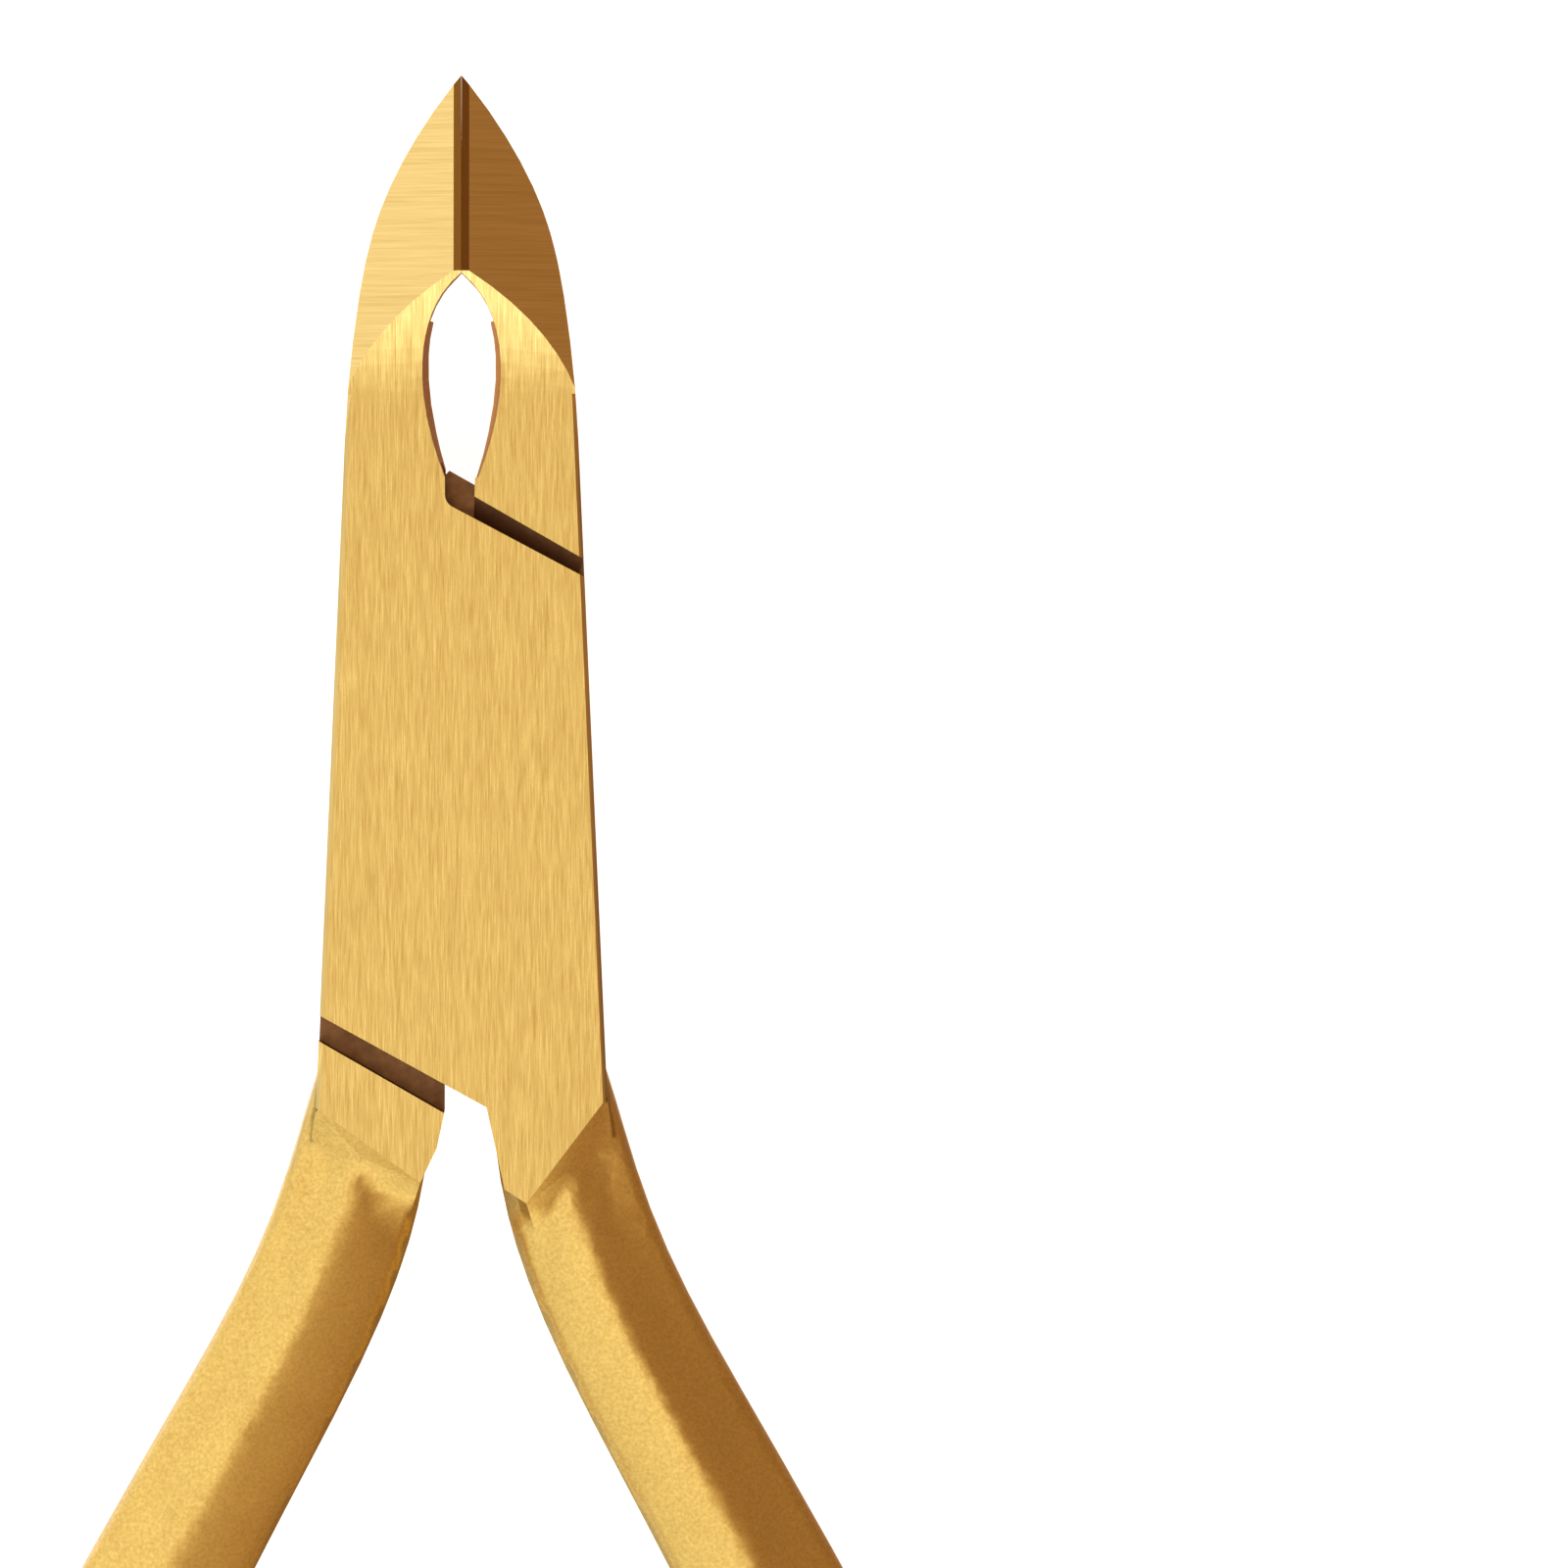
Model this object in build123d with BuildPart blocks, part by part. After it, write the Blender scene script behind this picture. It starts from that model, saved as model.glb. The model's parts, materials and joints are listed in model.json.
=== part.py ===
"""Box-joint cuticle nipper, in millimetres.

The nipper lies flat on its back: X across the jaws, Y towards the tip, Z from the back
face to the front face. The origin is on the pivot axis, at the back face. The jaws are
closed. The box half carries the left jaw, both cheeks and the right handle. The tongue
half carries the right jaw, the tongue between the cheeks and the left handle.
"""
from build123d import *

import math
import os

os.makedirs("parts", exist_ok=True)

# Head
head_thickness = 5.8
tip_y = 25.95
side_edge_break = 0.16
reach = 60.0  # how far trimming shapes run past the metal

# Jaws and their ground bevels
edge_land_half_width = 0.28
heel_y = 18.93
heel_rise = 1.6  # cutting edge above the front face, at its heel
edge_fall = 0.241  # drop of the cutting edge per millimetre towards the tip
bevel_fall = 0.68  # drop of each bevel per millimetre away from the edge
land_fall = 0.12  # drop of the honed land per millimetre away from the edge
scoop_start_y = 14.54
nose_start_y = 13.17  # where the back face turns up towards the tip
nose_bend_y = 21.0
nose_bend_depth = 2.3  # metal left under the front face there
nose_mid_y = 23.5
nose_mid_depth = 1.25
tip_depth = 0.35
jaw_seam_gap = 0.01
jaw_relief_top = 4.2
jaw_relief_half_gap = 0.5  # carried down to the back face

# Box joint, in layers through the thickness
cheek_thickness = 1.9
tongue_side_clearance = 0.03
wall_clearance = 0.4  # tongue to the web walls
tongue_hidden_inset = 0.1  # how far the tongue's lower edge stays behind the cheeks' edge
tongue_heel_x = 0.6
pin_radius = 1.75
pin_clearance = 0.03

# Handles
handle_thickness = 4.7
handle_crease = 0.48  # chamfer along the inner face
handle_crown_drop = 0.6  # fall of the crowned faces towards the crease
handle_end_round = 2.4  # length of the rounded end
handle_end_steps = (0.0, 0.35, 0.65, 0.85, 0.96, 0.995)  # sections, as shares of the rounded end
handle_end_width = 5.0
handle_reach = 85.5  # from the pivot to the middle of the rounded end
handle_bow = 19.5  # middle line of a handle, where it stands widest
nose_flat = 0.5  # height of the flat on the outer side, clear of the head
ramp_length = 1.6  # slope from the head's flat face down to the handle

# Leaf springs, one on each handle, whose free ends interlock between the handles
spring_thickness = 0.5
spring_width = 3.2
spring_share = 0.76  # place of the spring screw along the handle
spring_station_width = 5.9
spring_foot = 3.0  # length below the screw
spring_straight = 2.2  # length above the screw before the bend
spring_kick_radius = 3.0  # bend that lifts the strip off the handle
spring_kick_angle = 16.0
spring_sweep_radius = 44.0
spring_past_middle = 1.5
spring_notch = 1.3  # from the crossing point to the bottom of the notch
spring_fork_gap = 1.5
spring_tongue_width = 1.2
spring_seat_depth = 0.25
spring_seat_run = 2.6  # length of the seat beyond the bend
spring_seat_clearance = 0.1
spring_skin_gap = 0.01

# Spring screws
screw_shank_radius = 0.8
screw_head_radius = 1.3
screw_head_height = 0.8
screw_depth = 3.0
screw_slot_width = 0.4
screw_slot_depth = 0.4
screw_head_break = 0.15
screw_hole_clearance = 0.04
screw_hole_extra_depth = 0.3

# Derived sizes
front_cheek_back = head_thickness - cheek_thickness
mid_z = head_thickness / 2
seam_x = jaw_seam_gap / 2
scoop_run = heel_y - scoop_start_y
scoop_radius = (scoop_run**2 + heel_rise**2) / (2 * heel_rise)

# Head outline: the right-hand side from the tip down to the handle root
side_top = (4.2, 12.8)
side_slope = 0.0437  # widening of the head per millimetre towards the handles
jaw_side = [(0.0, tip_y), (1.75, 23.5), (3.1, 20.6), (3.8, 17.2), side_top]

# Flat feet of the head, which end in a V on each handle root
box_foot_corner_y = -10.77
box_foot_tip = (2.32, -14.59)
box_foot_inner = (1.54, -14.08)
box_crotch = (0.89, -11.13)
tongue_foot_corner_y = -11.15
tongue_foot_tip = (-1.49, -13.83)
tongue_foot_inner = (-0.9, -12.6)
tongue_crotch = (-0.63, -11.34)

foot_side_direction = (0.15, -0.99)
foot_inner_direction = (0.3, -0.95)

# Jaw opening: its left side, mirrored for the right
opening_side = [(0.0, 18.84), (-0.93, 17.69), (-1.415, 15.2), (-1.12, 13.1), (-0.6, 11.5)]
opening_step_y = 17.13
opening_back_share = 0.83  # width at the back, as a share of the front

# Seams of the cheeks
relief_x = -0.6
relief_radius = 0.5
cheek_upper_inner = (relief_x, 10.59)
cheek_upper_outer = (4.5, 7.88)
cheek_lower_outer = (-5.07, -7.85)
shoulder_upper_inner = (0.465, 10.82)
shoulder_upper_outer = (4.43, 8.55)
shoulder_lower_outer = (-5.1, -8.77)
opening_inside_y = 12.5
corridor_right_x = 0.5

# Webs and tongue between the cheeks
web_upper_outer = (-4.5, 8.03)
web_upper_inner = (-0.6, 12.18)
web_lower_outer = (5.05, -8.03)
tongue_top_left_x = -0.45
tongue_top_right = (corridor_right_x, 11.22)

# Centre line of the right handle, then section stations along it:
# share of the length, width, height of the flat on the outer side
handle_line = [
    (3.1, -9.6),
    (4.2, -15.0),
    (7.95, -23.0),
    (0.764 * handle_bow, -0.427 * handle_reach),
    (handle_bow, -0.643 * handle_reach),
    (0.969 * handle_bow, -0.819 * handle_reach),
    (0.851 * handle_bow, -handle_reach),
]
handle_start_direction = (0.12, -1.0)
handle_end_direction = (-0.2, -1.0)
handle_stations = [
    (0.0, 3.9, 2.4),
    (0.045, 4.8, 2.3),
    (0.09, 5.05, 1.6),
    (0.15, 5.2, 0.8),
    (0.25, 5.5, nose_flat),
    (0.45, 6.1, nose_flat),
    (spring_share, spring_station_width, nose_flat),
    (0.88, 5.5, nose_flat),
]


def side_x(y):
    """Return how far the straight side of the head stands from the middle."""
    return side_top[0] + (side_top[1] - y) * side_slope


def carried(point, direction, line, distance):
    """Return a point moved along a direction until it stands a distance off a line."""
    run = math.dist(*line)
    across = ((line[1][1] - line[0][1]) / run, -(line[1][0] - line[0][0]) / run)
    step = distance / abs(across[0] * direction[0] + across[1] * direction[1])
    return (point[0] + direction[0] * step, point[1] + direction[1] * step)


def beyond(inner, outer):
    """Return a point well past outer, on the line from inner."""
    share = reach / 4 / math.dist(inner, outer)
    return (outer[0] + (outer[0] - inner[0]) * share, outer[1] + (outer[1] - inner[1]) * share)


def height_on(line, x):
    """Return the height of a line, given by two points, at x."""
    (x0, y0), (x1, y1) = line
    return y0 + (y1 - y0) * (x - x0) / (x1 - x0)


def mirrored(point):
    """Return a point mirrored left to right."""
    return (-point[0], point[1])


# Head blank: both jaws, the box and the feet of both handles, before it is parted.

box_foot_corner = (side_x(box_foot_corner_y), box_foot_corner_y)
tongue_foot_corner = (-side_x(tongue_foot_corner_y), tongue_foot_corner_y)
box_ramp = (box_foot_corner, box_foot_tip)
box_ramp_ends = [
    carried(box_foot_corner, foot_side_direction, box_ramp, ramp_length),
    carried(box_foot_tip, foot_inner_direction, box_ramp, ramp_length),
]
tongue_ramp = (tongue_foot_corner, tongue_foot_tip)
tongue_ramp_ends = [
    carried(tongue_foot_tip, mirrored(foot_inner_direction), tongue_ramp, ramp_length),
    carried(tongue_foot_corner, mirrored(foot_side_direction), tongue_ramp, ramp_length),
]

ramp_end_y = tongue_foot_corner_y - ramp_length

with BuildPart() as head:
    with BuildSketch() as outline:
        with BuildLine():
            right_jaw = Spline(*jaw_side, tangents=[(0.84, -1.0), (0.05, -1.0)])
            Polyline(side_top, box_foot_corner, *box_ramp_ends, box_foot_tip, box_foot_inner, box_crotch)
            Polyline(box_crotch, tongue_crotch, tongue_foot_inner, tongue_foot_tip)
            Polyline(tongue_foot_tip, *tongue_ramp_ends, tongue_foot_corner, mirrored(side_top))
            mirror(right_jaw, about=Plane.YZ)
        make_face()
    extrude(amount=head_thickness + 2 * heel_rise)
    with BuildSketch(Plane.YZ.offset(-reach / 2)) as side:
        with BuildLine():
            back_nose = (nose_bend_y, head_thickness - nose_bend_depth)
            back_tip = (tip_y, head_thickness - tip_depth)
            back_mid = (nose_mid_y, head_thickness - nose_mid_depth)
            heel = (heel_y, head_thickness + heel_rise)
            Polyline((-reach / 2, 0), (nose_start_y, 0), back_nose)
            ThreePointArc(back_nose, back_mid, back_tip)
            Polyline(back_tip, (tip_y, head_thickness + 2 * heel_rise), (heel_y, head_thickness + 2 * heel_rise), heel)
            RadiusArc(heel, (scoop_start_y, head_thickness), scoop_radius)
            Polyline((scoop_start_y, head_thickness), (-reach / 2, head_thickness), (-reach / 2, 0))
        make_face()
    extrude(amount=reach, mode=Mode.INTERSECT)
    with BuildSketch(Plane.XZ.offset(-heel_y)) as roof:
        with BuildLine():
            crest = head_thickness + heel_rise
            land_edge = crest - land_fall * edge_land_half_width
            eave = land_edge - bevel_fall * (reach / 4 - edge_land_half_width)
            right_slope = [(0, crest), (edge_land_half_width, land_edge), (reach / 4, eave), (reach / 4, reach / 2)]
            Polyline(*right_slope, *[mirrored(p) for p in reversed(right_slope)])
        make_face()
    extrude(amount=reach / 2, dir=(0, 1, -edge_fall), both=True, mode=Mode.SUBTRACT)
    for level in (0, head_thickness):
        for line in (box_ramp_ends, tongue_ramp_ends):
            middle = Vector((line[0][0] + line[1][0]) / 2, (line[0][1] + line[1][1]) / 2, level)
            chamfer(head.edges().sort_by_distance(middle)[0], ramp_length)
    for side in (1, -1):
        for level in (0, head_thickness):
            start = (side * side_x(ramp_end_y), ramp_end_y, level)
            along = (-side * side_slope, 1, 0)
            with BuildSketch(Plane(origin=start, x_dir=(0, 0, 1), z_dir=along)):
                Rectangle(side_edge_break * math.sqrt(2), side_edge_break * math.sqrt(2), rotation=45)
            extrude(amount=scoop_start_y - ramp_end_y, mode=Mode.SUBTRACT)


def handle_section(share, width, flat, scale=1.0):
    """Return the D-shaped section of a handle, flat inside and crowned outside.

    It stands across the centre line at a share of its length.
    """
    point = centre_line.position_at(share)
    along = centre_line.tangent_at(share)
    place = Plane(origin=(point.X, point.Y, mid_z), x_dir=(-along.Y, along.X, 0), z_dir=along)
    half = scale * width / 2
    rim = scale * handle_thickness / 2
    bevel = scale * handle_crease
    crease = (bevel - half, rim - scale * handle_crown_drop)
    nose = (half, scale * flat / 2)
    with BuildSketch(place) as section:
        with BuildLine():
            inner = Polyline((-half, 0), (-half, crease[1] - bevel), crease)
            crown = Spline(
                crease,
                (0.1 * half, rim),
                (half - 0.42 * rim, 0.62 * rim + 0.38 * nose[1]),
                nose,
                tangents=[(1, 0.3), (0, -1)],
            )
            outer = Line(nose, (half, 0))
            mirror(inner, about=Plane.XZ)
            mirror(crown, about=Plane.XZ)
            mirror(outer, about=Plane.XZ)
        make_face()
    return section.sketch


with BuildLine() as centre:
    Spline(*handle_line, tangents=[handle_start_direction, handle_end_direction])
centre_line = centre.edges()[0]
end_share = handle_end_round / centre_line.length
shaft_line = centre_line.trim(0, 1 - end_share)
handle_stations.append((1 - end_share, handle_end_width, nose_flat))
rounded_end = [
    handle_section(1 - end_share * (1 - depth), handle_end_width, nose_flat, math.sqrt(1 - depth**2))
    for depth in handle_end_steps
]

# The spring's foot lies in a shallow seat across the handle's inner face.
seat_point = centre_line.position_at(spring_share)
seat_along = centre_line.tangent_at(spring_share)
seat_outward = Vector(-seat_along.Y, seat_along.X, 0)
seat_depth_in = spring_station_width / 2 - spring_seat_depth
seat_origin = Vector(seat_point.X, seat_point.Y, mid_z) - seat_outward * seat_depth_in
seat_plane = Plane(origin=seat_origin, x_dir=-seat_along, z_dir=-seat_outward)
seat_start = -spring_straight - spring_seat_run
seat_end = spring_foot + spring_seat_clearance

with BuildPart() as handle:
    sweep([handle_section(*station) for station in handle_stations], path=shaft_line, multisection=True)
    loft(rounded_end)
    with BuildSketch(seat_plane):
        with Locations((-(seat_start + seat_end) / 2, 0)):
            Rectangle(seat_end - seat_start, handle_thickness)
    extrude(amount=spring_station_width / 4, mode=Mode.SUBTRACT)
    with BuildSketch(seat_plane):
        Circle(screw_shank_radius + screw_hole_clearance)
    extrude(amount=-(screw_depth + screw_hole_extra_depth), mode=Mode.SUBTRACT)

with BuildPart() as blank:
    add(head.part)
    add(handle.part)
    mirror(handle.part, about=Plane.YZ)


# Trimming shapes: where the two halves part, in the cheeks and between them.

crotch_inside = (0.4, -16.0)
middle_bottom = (0.0, -2 * reach)
upper_inside = (seam_x, opening_inside_y)

box_cheek_outline = [
    (-seam_x, reach),
    (-reach, reach),
    (-reach, cheek_lower_outer[1]),
    beyond(box_crotch, cheek_lower_outer),
    box_crotch,
    crotch_inside,
    middle_bottom,
    (reach, -2 * reach),
    (reach, 0),
    beyond(cheek_upper_inner, cheek_upper_outer),
    cheek_upper_inner,
    (relief_x, opening_inside_y),
    mirrored(upper_inside),
]
box_web_outlines = [
    [
        (-seam_x, reach),
        (-reach, reach),
        (-reach, 0),
        beyond(web_upper_inner, web_upper_outer),
        web_upper_inner,
        (web_upper_inner[0], opening_inside_y),
        mirrored(upper_inside),
    ],
    [
        box_crotch,
        crotch_inside,
        middle_bottom,
        (reach, -2 * reach),
        (reach, 0),
        beyond(box_crotch, web_lower_outer),
    ],
]
jaw_cheek_outline = [
    (seam_x, reach),
    (reach, reach),
    (reach, shoulder_upper_outer[1]),
    beyond(shoulder_upper_inner, shoulder_upper_outer),
    shoulder_upper_inner,
    (corridor_right_x, opening_inside_y),
    upper_inside,
]
handle_cheek_outline = [
    beyond(tongue_crotch, shoulder_lower_outer),
    tongue_crotch,
    mirrored(crotch_inside),
    middle_bottom,
    (-reach, -2 * reach),
    (-reach, 0),
]
upper_wall = (web_upper_outer, web_upper_inner)
lower_wall = (box_crotch, web_lower_outer)
tongue_upper = [carried(p, (0, -1), upper_wall, wall_clearance) for p in upper_wall]
tongue_lower = [carried(p, (0, 1), lower_wall, wall_clearance) for p in lower_wall]
tongue_outline = [
    (tongue_top_left_x, height_on(tongue_upper, tongue_top_left_x)),
    tongue_top_right,
    (reach, tongue_top_right[1]),
    (reach, 0),
    beyond(*tongue_lower),
    (tongue_heel_x, height_on(tongue_lower, tongue_heel_x)),
    (tongue_crotch[0], height_on((box_crotch, cheek_lower_outer), tongue_crotch[0]) + tongue_hidden_inset),
    tongue_crotch,
    (-reach, tongue_crotch[1]),
    (-reach, 0),
    beyond(tongue_upper[1], tongue_upper[0]),
]


def layer(points, bottom, top, rounded=None):
    """Return a flat layer of a trimming shape, with one corner rounded if asked."""
    with BuildPart() as made:
        with BuildSketch(Plane.XY.offset(bottom)) as flat:
            with BuildLine():
                Polyline(*points, close=True)
            make_face()
            if rounded:
                fillet(flat.vertices().sort_by_distance(Vector(*rounded, 0))[0], relief_radius)
        extrude(amount=top - bottom)
    return made.part


sky = head_thickness + 2 * heel_rise
cheek_layers = ((0, cheek_thickness), (front_cheek_back, sky))


def almond(level, narrowing):
    """Return the almond outline of the jaw opening at a height, narrowed across."""
    points = [(x * narrowing, y) for x, y in opening_side]
    with BuildSketch(Plane.XY.offset(level)) as outline:
        with BuildLine():
            left_side = Spline(*points)
            mirror(left_side, about=Plane.YZ)
            Line(left_side @ 1, mirrored(points[-1]))
        make_face()
    return outline.sketch


with BuildPart() as upper_opening:
    extrude(almond(0, 1), amount=head_thickness)
    split(bisect_by=Plane.XZ.offset(-opening_step_y), keep=Keep.BOTTOM)

# The jaw opening narrows a little towards the back, below a small step in its sides.
with BuildPart() as jaw_opening:
    loft([almond(0, opening_back_share), almond(head_thickness, 1)])
    extrude(almond(head_thickness, 1), amount=2 * heel_rise)
    add(upper_opening.part)

# Behind the cutting edges the jaws' meeting faces are relieved towards the back.
with BuildPart() as jaw_relief:
    with BuildSketch(Plane.XZ.offset(-opening_inside_y)):
        with BuildLine():
            Polyline((0, jaw_relief_top), (jaw_relief_half_gap, 0), (-jaw_relief_half_gap, 0), close=True)
        make_face()
    extrude(amount=-reach)

# Box half: left jaw, both cheeks and the right handle.
with BuildPart() as box_half:
    for bottom, top in cheek_layers:
        add(layer(box_cheek_outline, bottom, top, cheek_upper_inner))
    for web in box_web_outlines:
        add(layer(web, cheek_thickness, front_cheek_back))
    add(blank.part, mode=Mode.INTERSECT)
    add(jaw_opening.part, mode=Mode.SUBTRACT)
    add(jaw_relief.part, mode=Mode.SUBTRACT)
    with BuildSketch(Plane.XY):
        Circle(pin_radius)
    extrude(amount=head_thickness, mode=Mode.SUBTRACT)
box_half.part.label = "box_half"
export_step(box_half.part, "parts/box_half.step")

with BuildPart() as tongue:
    add(layer(tongue_outline, cheek_thickness + tongue_side_clearance, front_cheek_back - tongue_side_clearance))
    add(blank.part, mode=Mode.INTERSECT)

# Tongue half: right jaw, tongue and the left handle.
with BuildPart() as tongue_half:
    for region in (jaw_cheek_outline, handle_cheek_outline):
        add(layer(region, 0, sky))
    add(blank.part, mode=Mode.INTERSECT)
    add(jaw_opening.part, mode=Mode.SUBTRACT)
    add(jaw_relief.part, mode=Mode.SUBTRACT)
    add(tongue.part)
    with BuildSketch(Plane.XY):
        Circle(pin_radius + pin_clearance)
    extrude(amount=head_thickness, mode=Mode.SUBTRACT)
tongue_half.part.label = "tongue_half"
export_step(tongue_half.part, "parts/tongue_half.step")

# Pivot pin: riveted through both cheeks and ground flush.
with BuildPart() as pivot_pin:
    with BuildSketch(Plane.XY):
        Circle(pin_radius)
    extrude(amount=head_thickness)
pivot_pin.part.label = "pivot_pin"
export_step(pivot_pin.part, "parts/pivot_pin.step")

# Leaf springs: each bends from its seat across to the other; one ends in a fork and the
# other in a tongue that passes through it.

heading = math.atan2(-seat_along.X, -seat_along.Y)
lifted = heading - math.radians(spring_kick_angle)
strip_start = seat_origin - seat_outward * (spring_thickness / 2 + spring_skin_gap)
bend_start = strip_start - seat_along * spring_straight
foot_end = strip_start + seat_along * spring_foot
sweep_start = bend_start + Vector(
    spring_kick_radius * (math.cos(lifted) - math.cos(heading)),
    spring_kick_radius * (math.sin(heading) - math.sin(lifted)),
)
tip_heading = math.acos(math.cos(lifted) - sweep_start.X / spring_sweep_radius)
sweep_angle = lifted + tip_heading + spring_past_middle / spring_sweep_radius
crossing = Vector(0, sweep_start.Y + spring_sweep_radius * (math.sin(lifted) + math.sin(tip_heading)), mid_z)
strip_direction = Vector(-math.sin(tip_heading), math.cos(tip_heading), 0)
crossing_plane = Plane(origin=crossing, x_dir=strip_direction, z_dir=(0, 0, 1))

with BuildPart() as leaf:
    with BuildSketch(Plane.XY.offset(mid_z - spring_width / 2)):
        with BuildLine():
            straight = Line((foot_end.X, foot_end.Y), (bend_start.X, bend_start.Y))
            kick = JernArc(straight @ 1, straight % 1, spring_kick_radius, spring_kick_angle)
            JernArc(kick @ 1, kick % 1, spring_sweep_radius, math.degrees(sweep_angle))
        trace(line_width=spring_thickness)
    extrude(amount=spring_width)
    with BuildSketch(Plane(origin=strip_start, x_dir=seat_plane.x_dir, z_dir=seat_plane.z_dir)):
        Circle(screw_shank_radius + screw_hole_clearance)
    extrude(amount=spring_width, both=True, mode=Mode.SUBTRACT)

tip_length = spring_notch + 2 * spring_past_middle
tip_centre = tip_length / 2 - spring_notch

with BuildPart() as forked_spring:
    add(leaf.part)
    with Locations(crossing_plane.location):
        with Locations((tip_centre, 0, 0)):
            Box(tip_length, 4 * spring_thickness, spring_fork_gap, mode=Mode.SUBTRACT)
forked_spring.part.label = "forked_spring"
export_step(forked_spring.part, "parts/forked_spring.step")

with BuildPart() as tongued_spring:
    add(leaf.part)
    with Locations(crossing_plane.location):
        for side in (1, -1):
            with Locations((tip_centre, 0, side * (spring_tongue_width + spring_width) / 2)):
                Box(tip_length, 4 * spring_thickness, spring_width, mode=Mode.SUBTRACT)
    mirror(about=Plane.YZ, mode=Mode.REPLACE)
tongued_spring.part.label = "tongued_spring"
export_step(tongued_spring.part, "parts/tongued_spring.step")

# Spring screws: slotted cheese heads that hold each spring's foot in its seat.
head_base = spring_thickness + 2 * spring_skin_gap

with BuildPart() as box_spring_screw:
    with BuildSketch(seat_plane.offset(-screw_depth)):
        Circle(screw_shank_radius)
    extrude(amount=screw_depth + head_base)
    with BuildSketch(seat_plane.offset(head_base)):
        Circle(screw_head_radius)
    extrude(amount=screw_head_height)
    rim = box_spring_screw.edges().filter_by(GeomType.CIRCLE).sort_by_distance(seat_origin)[-1]
    chamfer(rim, screw_head_break)
    with BuildSketch(seat_plane.offset(head_base + screw_head_height)):
        Rectangle(screw_slot_width, 4 * screw_head_radius)
    extrude(amount=-screw_slot_depth, mode=Mode.SUBTRACT)
box_spring_screw.part.label = "box_spring_screw"
export_step(box_spring_screw.part, "parts/box_spring_screw.step")

with BuildPart() as tongue_spring_screw:
    mirror(box_spring_screw.part, about=Plane.YZ)
tongue_spring_screw.part.label = "tongue_spring_screw"
export_step(tongue_spring_screw.part, "parts/tongue_spring_screw.step")
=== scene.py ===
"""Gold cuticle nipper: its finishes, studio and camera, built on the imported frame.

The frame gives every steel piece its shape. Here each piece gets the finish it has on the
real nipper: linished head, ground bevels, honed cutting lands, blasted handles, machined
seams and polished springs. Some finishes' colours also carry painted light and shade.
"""
import json
import logging
import math
from dataclasses import dataclass, field
from enum import Enum

import bmesh
import bpy
from mathutils import Matrix, Vector
from mathutils.kdtree import KDTree

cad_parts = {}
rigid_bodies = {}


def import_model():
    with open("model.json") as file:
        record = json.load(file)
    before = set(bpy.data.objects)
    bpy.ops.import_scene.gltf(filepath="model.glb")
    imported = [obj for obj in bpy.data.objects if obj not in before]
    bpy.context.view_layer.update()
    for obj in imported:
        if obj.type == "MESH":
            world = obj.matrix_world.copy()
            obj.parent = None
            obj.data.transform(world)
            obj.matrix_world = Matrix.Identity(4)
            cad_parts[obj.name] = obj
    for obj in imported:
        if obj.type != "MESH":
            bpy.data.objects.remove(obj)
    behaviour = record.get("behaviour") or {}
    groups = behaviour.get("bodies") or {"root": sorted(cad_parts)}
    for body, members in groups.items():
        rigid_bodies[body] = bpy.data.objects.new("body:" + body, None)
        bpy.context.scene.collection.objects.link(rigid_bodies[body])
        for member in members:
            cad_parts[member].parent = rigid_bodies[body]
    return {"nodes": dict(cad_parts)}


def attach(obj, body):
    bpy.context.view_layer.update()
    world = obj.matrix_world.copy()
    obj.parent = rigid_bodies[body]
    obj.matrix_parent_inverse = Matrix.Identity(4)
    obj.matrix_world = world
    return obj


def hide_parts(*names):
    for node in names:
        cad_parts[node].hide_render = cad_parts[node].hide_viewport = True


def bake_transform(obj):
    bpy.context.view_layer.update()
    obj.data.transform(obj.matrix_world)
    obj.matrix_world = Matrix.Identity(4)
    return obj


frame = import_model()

MM = 0.001
NOISE_SPREAD = 0.225  # how far most of a noise's values lie from its middle
log = logging.getLogger("nipper")


def linear(colour: str) -> tuple[float, float, float, float]:
    """Turn an sRGB hex colour into the linear colour that Blender's sockets hold.

    Args:
        colour: Six hex digits, with or without a leading hash.

    Returns:
        Linear red, green and blue, and an alpha of 1.
    """
    digits = colour.lstrip("#")
    shares = [int(digits[k:k + 2], 16) / 255 for k in (0, 2, 4)]
    red, green, blue = [c / 12.92 if c <= 0.04045 else ((c + 0.055) / 1.055) ** 2.4 for c in shares]
    return red, green, blue, 1.0


def add_node(
    tree: bpy.types.NodeTree,
    kind: str,
    settings: dict | None = None,
    values: dict | None = None,
    links: dict | None = None,
) -> bpy.types.Node:
    """Add one node, with its settings, its socket values and its incoming links.

    Args:
        tree: The node tree that gets the node.
        kind: The node's Blender type, such as ShaderNodeTexNoise.
        settings: Properties of the node, by name.
        values: Values of its input sockets, by name or number.
        links: Output sockets that feed its inputs, by input name or number.

    Returns:
        The new node.
    """
    node = tree.nodes.new(kind)
    for name, value in (settings or {}).items():
        setattr(node, name, value)
    for name, value in (values or {}).items():
        node.inputs[name].default_value = value
    for name, output in (links or {}).items():
        tree.links.new(output, node.inputs[name])
    return node


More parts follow.
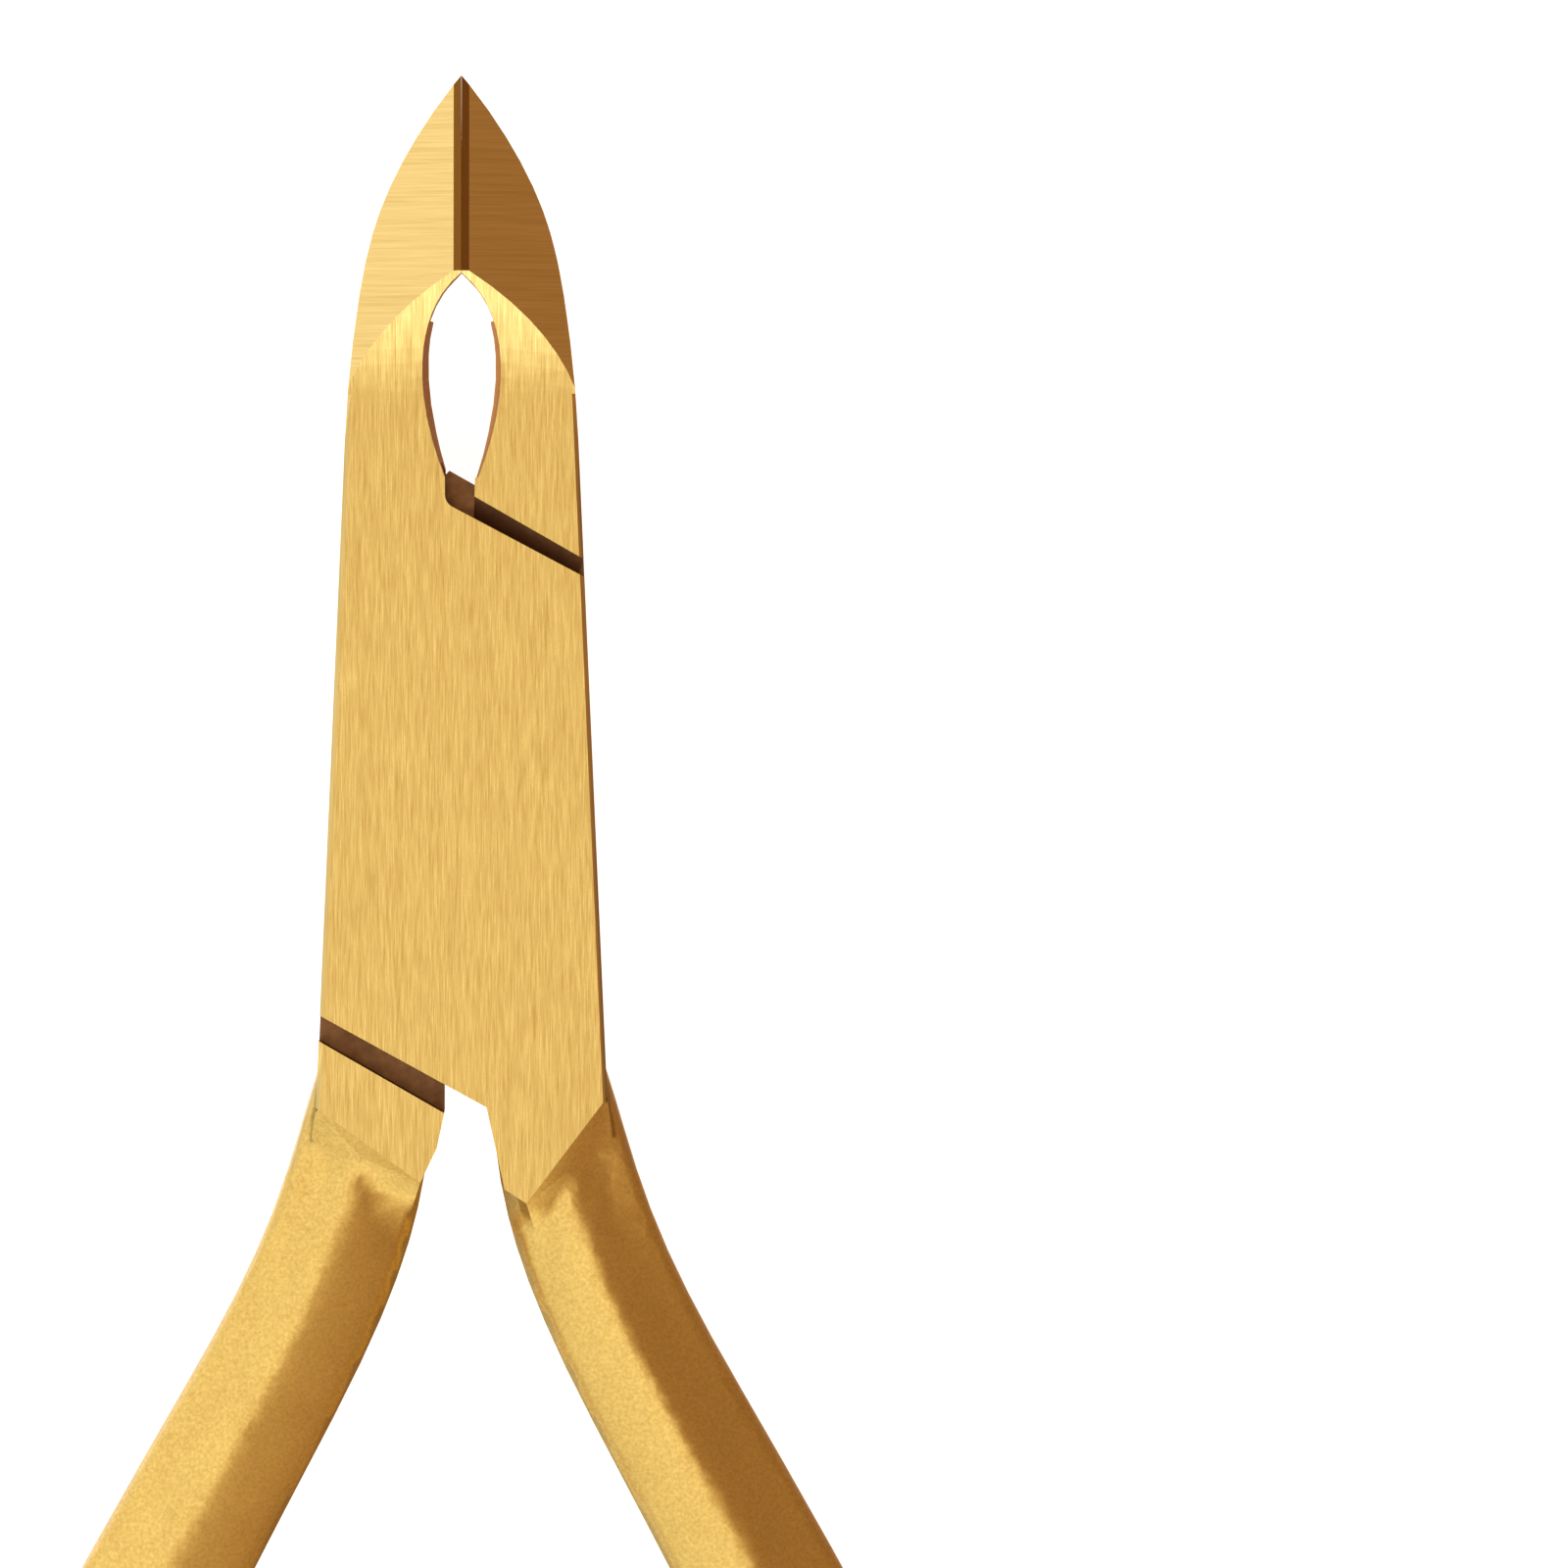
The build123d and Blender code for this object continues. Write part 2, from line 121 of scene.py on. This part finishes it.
@dataclass(frozen=True)
class GoldFinish:
    """Gold-coloured plating over steel whose surface was worked in one way.

    Attributes:
        name: The material's name: the plating, how the steel under it was made, and any painted
        light and shade that its colours carry.
        bright: Colour of the grain's crests.
        shade: Colour of the grain's hollows.
        roughness: Roughness of the crests and of the hollows.
        grain_mm: Size of one mark of the grain along X, Y and Z.
        cloud_mm: Size of the slow changes of tone along X, Y and Z.
        cloud_share: How much of the tone the slow changes carry.
        relief_mm: Depth of the grain.
        contrast: How much of the noise's range turns into colour, 1 for all of it.
        edge_tint: Colour of the reflection where the surface is seen almost edge on.
    """

    name: str
    bright: str
    shade: str
    roughness: tuple[float, float]
    grain_mm: tuple[float, float, float]
    cloud_mm: tuple[float, float, float]
    cloud_share: float = 0.3
    relief_mm: float = 0.004
    contrast: float = 1.0
    edge_tint: str = "#FFFFFF"

    def pattern(self, tree: bpy.types.NodeTree, size_mm: tuple[float, float, float]) -> bpy.types.NodeSocket:
        """Add a noise whose marks have the given size.

        Args:
            tree: The material's node tree.
            size_mm: Size of one mark along X, Y and Z.

        Returns:
            The noise's value, from 0 to 1.
        """
        place = add_node(tree, "ShaderNodeTexCoord")
        scale = [1 / (size * MM) for size in size_mm]
        mapped = add_node(
            tree,
            "ShaderNodeMapping",
            values={"Scale": scale},
            links={"Vector": place.outputs["Object"]},
        )
        noise = add_node(
            tree,
            "ShaderNodeTexNoise",
            values={"Scale": 1.0, "Detail": 3.0, "Roughness": 0.6},
            links={"Vector": mapped.outputs["Vector"]},
        )
        return noise.outputs["Fac"]

    def material(self) -> bpy.types.Material:
        """Build the finish as a procedural metal.

        Returns:
            The new material.
        """
        made = bpy.data.materials.new(self.name)
        made.use_nodes = True
        tree = made.node_tree
        tree.nodes.clear()
        grain = self.pattern(tree, self.grain_mm)
        cloud = self.pattern(tree, self.cloud_mm)
        tone = add_node(
            tree,
            "ShaderNodeMix",
            settings={"data_type": "FLOAT"},
            values={"Factor": self.cloud_share},
            links={"A": grain, "B": cloud},
        )
        half = NOISE_SPREAD / self.contrast
        spread = add_node(
            tree,
            "ShaderNodeMapRange",
            values={"From Min": 0.5 - half, "From Max": 0.5 + half},
            links={"Value": tone.outputs["Result"]},
        )
        colour = add_node(
            tree,
            "ShaderNodeMix",
            settings={"data_type": "RGBA"},
            values={"A": linear(self.shade), "B": linear(self.bright)},
            links={"Factor": spread.outputs["Result"]},
        )
        dullness = add_node(
            tree,
            "ShaderNodeMapRange",
            values={"To Min": self.roughness[1], "To Max": self.roughness[0]},
            links={"Value": spread.outputs["Result"]},
        )
        relief = add_node(
            tree,
            "ShaderNodeBump",
            values={"Strength": 1.0, "Distance": self.relief_mm * MM},
            links={"Height": grain},
        )
        shader = add_node(
            tree,
            "ShaderNodeBsdfPrincipled",
            values={"Metallic": 1.0, "Specular Tint": linear(self.edge_tint)},
            links={
                "Base Color": colour.outputs[2],
                "Roughness": dullness.outputs["Result"],
                "Normal": relief.outputs["Normal"],
            },
        )
        add_node(tree, "ShaderNodeOutputMaterial", links={"Surface": shader.outputs["BSDF"]})
        return made


class Surface(Enum):
    """How each part of the nipper's surface was finished, in the order of its material slots."""

    # Linished flat on a belt, tip to handles: close, bright scratches with darker ones between.
    # Its colours are lighter than the same belt finish on the sides: painted light on the broad front face.
    FRONT = GoldFinish(
        name="gold_plated_steel_linished_front_painted_light",
        bright="#FFE898",
        shade="#CDAA5C",
        roughness=(0.24, 0.34),
        grain_mm=(0.05, 1.2, 8.0),
        cloud_mm=(0.14, 3.5, 20.0),
        cloud_share=0.25,
        contrast=1.1,
    )
    # The same belt along the narrow sides.
    SIDE = GoldFinish(
        name="gold_plated_steel_linished_side",
        bright="#E0C37E",
        shade="#BE9A55",
        roughness=(0.26, 0.38),
        grain_mm=(8.0, 2.6, 0.05),
        cloud_mm=(20.0, 9.0, 0.22),
        contrast=0.9,
    )
    # Ground on a wheel across the jaws: close cross lines, a little glossier than the head.
    BEVEL = GoldFinish(
        name="gold_plated_steel_ground_crosswise",
        bright="#EED088",
        shade="#CFAA60",
        roughness=(0.22, 0.3),
        grain_mm=(4.0, 0.075, 4.0),
        cloud_mm=(9.0, 0.35, 9.0),
        contrast=0.85,
    )
    # Honed on a fine stone: two narrow, glossy facets that meet at the edge.
    # Their dark brown colour is a painted dark reflection of the camera in these mirror-like facets.
    LAND = GoldFinish(
        name="gold_plated_steel_honed_edge_painted_reflection",
        bright="#8F6733",
        shade="#865E2C",
        roughness=(0.1, 0.16),
        grain_mm=(0.05, 4.0, 0.05),
        cloud_mm=(0.2, 10.0, 0.2),
        relief_mm=0.0005,
    )
    # Bead-blasted: an even satin with a round grain and soft, wide highlights. The grain is drawn
    # coarser than blasting leaves it, so that it shows at all.
    HANDLE = GoldFinish(
        name="gold_plated_steel_bead_blasted",
        bright="#E4C26E",
        shade="#C49F52",
        roughness=(0.36, 0.46),
        grain_mm=(0.13, 0.13, 0.13),
        cloud_mm=(1.4, 3.0, 1.4),
        cloud_share=0.2,
        relief_mm=0.005,
    )
    # Milled and broached before plating: duller than the head.
    # Its dark brown colour and edge tint are painted shade in the narrow seams and inner walls.
    WALL = GoldFinish(
        name="gold_plated_steel_milled_seam_painted_shade",
        bright="#96704E",
        shade="#704E36",
        edge_tint="#96704E",
        roughness=(0.3, 0.42),
        grain_mm=(0.4, 0.4, 0.08),
        cloud_mm=(2.0, 2.0, 2.0),
        contrast=0.8,
    )
    # Broached through the jaws and then polished.
    # Its deeper, redder gold is the plating's colour with painted shade and painted reflected gold light
    # inside the narrow opening.
    OPENING = GoldFinish(
        name="gold_plated_steel_broached_opening",
        bright="#CE9C4C",
        shade="#AC7C34",
        edge_tint="#C89444",
        roughness=(0.28, 0.38),
        grain_mm=(0.3, 0.06, 3.0),
        cloud_mm=(2.0, 2.0, 2.0),
        contrast=0.8,
    )
    # Rolled spring strip and turned screws, polished before plating.
    SPRING = GoldFinish(
        name="gold_plated_spring_steel_polished",
        bright="#E0C37C",
        shade="#CDAA62",
        roughness=(0.2, 0.28),
        grain_mm=(2.0, 2.0, 0.07),
        cloud_mm=(3.0, 3.0, 3.0),
        relief_mm=0.001,
        contrast=0.7,
    )


@dataclass
class Finisher:
    """Makes each finish once and hands it out.

    Attributes:
        made: The materials made so far, by surface.
    """

    made: dict[Surface, bpy.types.Material] = field(default_factory=dict)

    def of(self, surface: Surface) -> bpy.types.Material:
        """Return the material of a surface, made on its first use."""
        if surface not in self.made:
            self.made[surface] = surface.value.material()
        return self.made[surface]

    def dress_node(self, name: str, surface: Surface) -> None:
        """Give a carried-over frame node one finish.

        Args:
            name: The node's name.
            surface: The finish that it gets.
        """
        node = frame["nodes"][name]
        for part in node.material_slots:
            part.material = self.of(surface)
        log.info("%s keeps its frame mesh, finish %s", name, surface.name)


def merged_copy(node_name: str, name: str, sharp_from_deg: float) -> bpy.types.Object:
    """Copy a frame node's mesh into a new object with joined corners and smooth shading.

    Args:
        node_name: The frame node.
        name: The new object's name.
        sharp_from_deg: Edges that turn by more than this stay crisp.

    Returns:
        The new object, which isn't yet on any body.
    """
    work = bmesh.new()
    work.from_mesh(frame["nodes"][node_name].data)
    bmesh.ops.remove_doubles(work, verts=work.verts, dist=0.001 * MM)
    for face in work.faces:
        face.smooth = True
    mesh = bpy.data.meshes.new(name)
    work.to_mesh(mesh)
    work.free()
    mesh.set_sharp_from_angle(angle=math.radians(sharp_from_deg))
    copy = bpy.data.objects.new(name, mesh)
    bpy.context.scene.collection.objects.link(copy)
    return copy


def sharpen_between(mesh: bpy.types.Mesh, slots: list[int]) -> None:
    """Mark every edge between a face on one of the slots and a face on another slot as crisp.

    Args:
        mesh: The mesh.
        slots: The material slots.
    """
    seen: dict[int, int] = {}
    for face in mesh.polygons:
        for k in face.loop_indices:
            edge = mesh.loops[k].edge_index
            here = face.material_index
            there = seen.setdefault(edge, here)
            if here != there and (here in slots or there in slots):
                mesh.edges[edge].use_edge_sharp = True


class Joined:
    """Groups numbered things that belong together."""

    def __init__(self, count: int) -> None:
        """Start with every thing on its own.

        Args:
            count: How many things there are.
        """
        self.parent = list(range(count))

    def first(self, k: int) -> int:
        """Return the thing that stands for k's group."""
        while self.parent[k] != k:
            self.parent[k] = self.parent[self.parent[k]]
            k = self.parent[k]
        return k

    def join(self, a: int, b: int) -> None:
        """Put the groups of a and b together."""
        self.parent[self.first(a)] = self.first(b)


def even_shading(piece: bpy.types.Object, below_mm: float, reach_mm: float, alike: float) -> None:
    """Give a piece shading normals that are crisp at its sharp edges and even between them.

    A corner's normal is the mean of the faces round its point, counted by area. On the rounded
    handles it is the mean of every face within reach that looks much the same way, nearer ones more.

    Args:
        piece: The piece, with its crisp edges marked sharp.
        below_mm: Faces below this are evened over a distance.
        reach_mm: That distance.
        alike: Least cosine between a corner's own normal and a face that counts towards it.
    """
    mesh = piece.data
    faces, loops = mesh.polygons, mesh.loops
    sides: dict[int, list[tuple[int, int]]] = {}
    for face in faces:
        ring = list(face.loop_indices)
        for here, there in zip(ring, ring[1:] + ring[:1]):
            sides.setdefault(loops[here].edge_index, []).append((here, there))
    fans = Joined(len(loops))
    for edge, pair in sides.items():
        if len(pair) == 2 and not mesh.edges[edge].use_edge_sharp:
            (a, b), (c, d) = pair
            fans.join(a, d)
            fans.join(b, c)
    round_faces = [face for face in faces if face.center.y < below_mm * MM]
    tree = KDTree(len(round_faces))
    for face in round_faces:
        tree.insert(face.center, face.index)
    tree.balance()
    means: dict[int, Vector] = {}
    for face in faces:
        for k in face.loop_indices:
            group = fans.first(k)
            means[group] = means.get(group, Vector()) + face.normal * face.area
    evened = dict(means)
    own_share = 0.1
    places = {fans.first(k): loops[k].vertex_index for face in round_faces for k in face.loop_indices}
    for group, vertex in places.items():
        own = means[group].normalized()
        total = means[group] * own_share
        for _, number, far in tree.find_range(mesh.vertices[vertex].co, reach_mm * MM):
            if faces[number].normal.dot(own) > alike:
                total += faces[number].normal * faces[number].area * (1 - (far / (reach_mm * MM)) ** 2)
        evened[group] = total
    mesh.normals_split_custom_set([evened[fans.first(k)].normalized() for k in range(len(loops))])


@dataclass
class ForgedHalf:
    """One forged half: a jaw, its share of the box joint and a handle.

    Attributes:
        node: The frame node.
        body: The body that it rides on.
        finisher: Source of the materials.
        front_mm: Height of the flat front face.
        side_mm: Least distance of the head's side faces from the middle.
        heel_y_mm: Where the cutting edge begins.
        jaw_y_mm: Where the jaws' curved sides begin.
        land_mm: Half the width of the honed lands.
        opening_y_mm: Where the opening between the jaws begins.
        handle_y_mm: Below this the blasted handle begins.
        side_end_mm: Where the head's linished sides end.
        seam_end_mm: Where the milled walls of the lower seams end.
        flat_mm: How close to a flat's height a face has to be, to be a part of it.
        sharp_deg: Edges that turn by more than this stay crisp.
        even_mm: Distance over which the handles' shading is evened.
        even_below_mm: Below this the shading is evened, clear of the head's feet.
        even_alike: Least cosine between a corner and a face that counts towards it.
    """

    node: str
    body: str
    finisher: Finisher
    front_mm: float = 5.8
    side_mm: float = 3.9
    heel_y_mm: float = 18.9
    jaw_y_mm: float = 12.75
    land_mm: float = 0.29
    opening_y_mm: float = 11.4
    handle_y_mm: float = -10.4
    side_end_mm: float = -13.4
    seam_end_mm: float = -12.4
    flat_mm: float = 0.01
    sharp_deg: float = 20.0
    even_mm: float = 1.3
    even_below_mm: float = -16.0
    even_alike: float = 0.94

    def surface_at(self, centre: Vector, normal: Vector) -> Surface:
        """Say how a face was finished, from where it is and where it looks.

        Args:
            centre: The face's middle, in millimetres.
            normal: The face's unit normal.

        Returns:
            The face's surface.
        """
        level = centre.z > self.front_mm - self.flat_mm or centre.z < self.flat_mm
        looks_out = normal.x * centre.x > 0
        # Flat front faces get the front finish with its painted light.
        if level and abs(normal.z) > 0.995:
            return Surface.FRONT
        if centre.y > self.jaw_y_mm:
            if normal.z > 0.3 and abs(normal.x) > 0.3:
                return Surface.BEVEL
            # The honed lands get the finish with its painted dark reflection.
            if normal.z > 0.3 and centre.y > self.heel_y_mm and abs(centre.x) < self.land_mm:
                return Surface.LAND
            if abs(normal.z) > 0.25:
                return Surface.FRONT
            # Inner faces of the jaws get the opening finish with its painted shade.
            return Surface.SIDE if looks_out and abs(normal.x) > 0.2 else Surface.OPENING
        # The opening's walls get the finish with its painted shade.
        if centre.y > self.opening_y_mm and abs(normal.x) > 0.7 and not looks_out:
            return Surface.OPENING
        on_side = looks_out and abs(normal.x) > 0.6 and abs(centre.x) > self.side_mm
        if on_side and centre.y > self.side_end_mm:
            return Surface.SIDE
        # Seam walls and the head's inner walls get the finish with its painted shade.
        in_seam = abs(normal.z) < 0.1 and normal.y > 0.6 and centre.y > self.seam_end_mm
        if centre.y > self.handle_y_mm or in_seam:
            return Surface.WALL
        return Surface.HANDLE

    def build(self) -> bpy.types.Object:
        """Build the half with its finishes and put it on its body.

        Returns:
            The finished half.
        """
        half = merged_copy(self.node, f"{self.node}_finished", self.sharp_deg)
        surfaces = list(Surface)
        for surface in surfaces:
            half.data.materials.append(self.finisher.of(surface))
        counts = dict.fromkeys(surfaces, 0)
        for face in half.data.polygons:
            surface = self.surface_at(face.center / MM, face.normal)
            face.material_index = surfaces.index(surface)
            counts[surface] += 1
        crisp = [surfaces.index(surface) for surface in (Surface.FRONT, Surface.BEVEL, Surface.LAND)]
        sharpen_between(half.data, crisp)
        even_shading(half, self.even_below_mm, self.even_mm, self.even_alike)
        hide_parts(self.node)
        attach(half, self.body)
        log.info("%s: faces by finish %s", half.name, {s.name: n for s, n in counts.items()})
        return half


@dataclass
class LeafSpring:
    """One leaf spring, clamped on its handle at the foot.

    Attributes:
        node: The frame node.
        handle_body: The body of the handle that clamps its foot.
        tip_body: The body at its free end.
        side: 1 for the right-hand spring, -1 for the left-hand one. Not used.
        finisher: Source of the materials.
        clamp_mm: Where the strip leaves its seat, for the right-hand spring. Not used.
        tip_mm: The free end, for the right-hand spring. Not used.
    """

    node: str
    handle_body: str
    tip_body: str
    side: int
    finisher: Finisher
    clamp_mm: tuple[float, float, float] = (16.2, -64.0, 2.9)
    tip_mm: tuple[float, float, float] = (0.5, -38.0, 2.9)

    def build(self) -> bpy.types.Object:
        """Build the spring and finish it.

        Returns:
            The finished spring.
        """
        strip = merged_copy(self.node, f"{self.node}_finished", 22)
        strip.data.materials.append(self.finisher.of(Surface.SPRING))
        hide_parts(self.node)
        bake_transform(strip)
        log.info("%s bends from %s to %s", strip.name, self.handle_body, self.tip_body)
        return strip


@dataclass
class Fasteners:
    """The riveted pivot pin and the two spring screws.

    Attributes:
        finisher: Source of the materials.
        pin: Node of the pivot pin, whose ends were linished with the head.
        screws: Nodes of the spring screws.
    """

    finisher: Finisher
    pin: str = "pivot_pin"
    screws: tuple[str, ...] = ("box_spring_screw", "tongue_spring_screw")

    def build(self) -> None:
        """Dress the pin and the screws, which keep their frame meshes."""
        # The pin's ends share the front finish and its painted light.
        self.finisher.dress_node(self.pin, Surface.FRONT)
        for screw in self.screws:
            self.finisher.dress_node(screw, Surface.SPRING)


@dataclass
class Studio:
    """Pale light table, soft light that is bright on the left and dim and warm on the right, camera.

    Attributes:
        floor_m: Half the floor's width.
        floor_colour: Colour of the matt floor.
        glow_colour: Colour of the light that comes through the floor from below.
        glow_strength: Strength of that light, which lifts the shadows.
        light_across: Colour of the surroundings from left, -1, to right, 1: soft white with a
            brighter strip, then amber and brown.
        handle_side_share: How much the white side reaches round towards the handles.
        light_strength: Strength of the surroundings.
        target_mm: The point at the middle of the picture.
        view_width_mm: Width of the view at the nipper's front face.
        lean_deg: How far the camera leans to the left and to the tip.
        distance_m: Distance of the camera.
    """

    floor_m: float = 3.0
    floor_colour: str = "#C4C6C8"
    glow_colour: str = "#FFFFFF"
    glow_strength: float = 0.95
    light_across: tuple[tuple[float, str], ...] = (
        (-0.8, "#DADADA"),
        (-0.42, "#FFFFFF"),
        (-0.02, "#C6B499"),
        (0.35, "#9C7E65"),
        (0.9, "#8A6C54"),
    )
    handle_side_share: float = 0.5
    light_strength: float = 1.7
    target_mm: tuple[float, float, float] = (11.58, 0.49, 5.8)
    view_width_mm: float = 56.34
    lean_deg: tuple[float, float] = (0.8, 0.8)
    distance_m: float = 0.6

    def build_floor(self) -> bpy.types.Object:
        """Build the floor just under the nipper: opal acrylic, matt and lit from below.

        The metal doesn't mirror it, so that the undersides stay as warm as the surroundings.

        Returns:
            The floor.
        """
        work = bmesh.new()
        bmesh.ops.create_grid(work, x_segments=1, y_segments=1, size=self.floor_m)
        bmesh.ops.translate(work, verts=work.verts, vec=(0, 0, -0.05 * MM))
        mesh = bpy.data.meshes.new("studio_floor")
        work.to_mesh(mesh)
        work.free()
        paint = bpy.data.materials.new("opal_acrylic_light_table")
        paint.use_nodes = True
        shader = paint.node_tree.nodes["Principled BSDF"]
        shader.inputs["Base Color"].default_value = linear(self.floor_colour)
        shader.inputs["Roughness"].default_value = 0.9
        shader.inputs["Specular IOR Level"].default_value = 0.1
        shader.inputs["Emission Color"].default_value = linear(self.glow_colour)
        shader.inputs["Emission Strength"].default_value = self.glow_strength
        mesh.materials.append(paint)
        floor = bpy.data.objects.new("studio_floor", mesh)
        bpy.context.scene.collection.objects.link(floor)
        floor.visible_glossy = False
        return floor

    def build_light(self) -> None:
        """Light the scene from all round: a bright, wide left side and a dim, warm right side."""
        world = bpy.data.worlds.new("soft_studio")
        world.use_nodes = True
        tree = world.node_tree
        tree.nodes.clear()
        place = add_node(tree, "ShaderNodeTexCoord")
        across = add_node(
            tree,
            "ShaderNodeVectorMath",
            settings={"operation": "DOT_PRODUCT"},
            values={1: (1.0, self.handle_side_share, 0.0)},
            links={0: place.outputs["Generated"]},
        )
        fade = add_node(
            tree,
            "ShaderNodeMapRange",
            values={"From Min": -1.0, "From Max": 1.0},
            links={"Value": across.outputs["Value"]},
        )
        colour = add_node(tree, "ShaderNodeValToRGB", links={"Fac": fade.outputs["Result"]})
        ramp = colour.color_ramp
        ramp.interpolation = "EASE"
        for _ in self.light_across[2:]:
            ramp.elements.new(0.5)
        for stop, (place_across, shade) in zip(ramp.elements, self.light_across):
            stop.position = (place_across + 1) / 2
            stop.color = linear(shade)
        glow = add_node(
            tree,
            "ShaderNodeBackground",
            values={"Strength": self.light_strength},
            links={"Color": colour.outputs["Color"]},
        )
        add_node(tree, "ShaderNodeOutputWorld", links={"Surface": glow.outputs["Background"]})
        bpy.context.scene.world = world
        bpy.context.scene.view_settings.view_transform = "Standard"

    def build_camera(self) -> bpy.types.Object:
        """Build the camera over the nipper, leaning a little to the left and to the tip.

        Returns:
            The camera.
        """
        lens = bpy.data.cameras.new("camera")
        lens.sensor_width = 36.0
        lens.lens = lens.sensor_width * self.distance_m / (self.view_width_mm * MM)
        lens.clip_start = 0.01
        left, tip = [math.tan(math.radians(angle)) for angle in self.lean_deg]
        back = Vector((-left, tip, 1)).normalized()
        right = Vector((0, 1, 0)).cross(back).normalized()
        turn = Matrix((right, back.cross(right), back)).transposed()
        camera = bpy.data.objects.new("camera", lens)
        place = Vector(self.target_mm) * MM + back * self.distance_m
        camera.matrix_world = Matrix.Translation(place) @ turn.to_4x4()
        bpy.context.scene.collection.objects.link(camera)
        bpy.context.scene.camera = camera
        return camera

    def build(self) -> None:
        """Build the floor, the light and the camera."""
        self.build_floor()
        self.build_light()
        self.build_camera()
        log.info("studio built, camera %.2f m away", self.distance_m)


def main() -> None:
    """Build every piece in order, then the studio."""
    logging.basicConfig(level=logging.INFO, format="%(name)s: %(message)s")
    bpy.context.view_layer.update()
    finisher = Finisher()
    ForgedHalf("box_half", "box_body", finisher).build()
    ForgedHalf("tongue_half", "tongue_body", finisher).build()
    LeafSpring("forked_spring", "box_body", "forked_spring_body", 1, finisher).build()
    LeafSpring("tongued_spring", "tongue_body", "tongued_spring_body", -1, finisher).build()
    Fasteners(finisher).build()
    Studio().build()


if __name__ == "__main__":
    main()
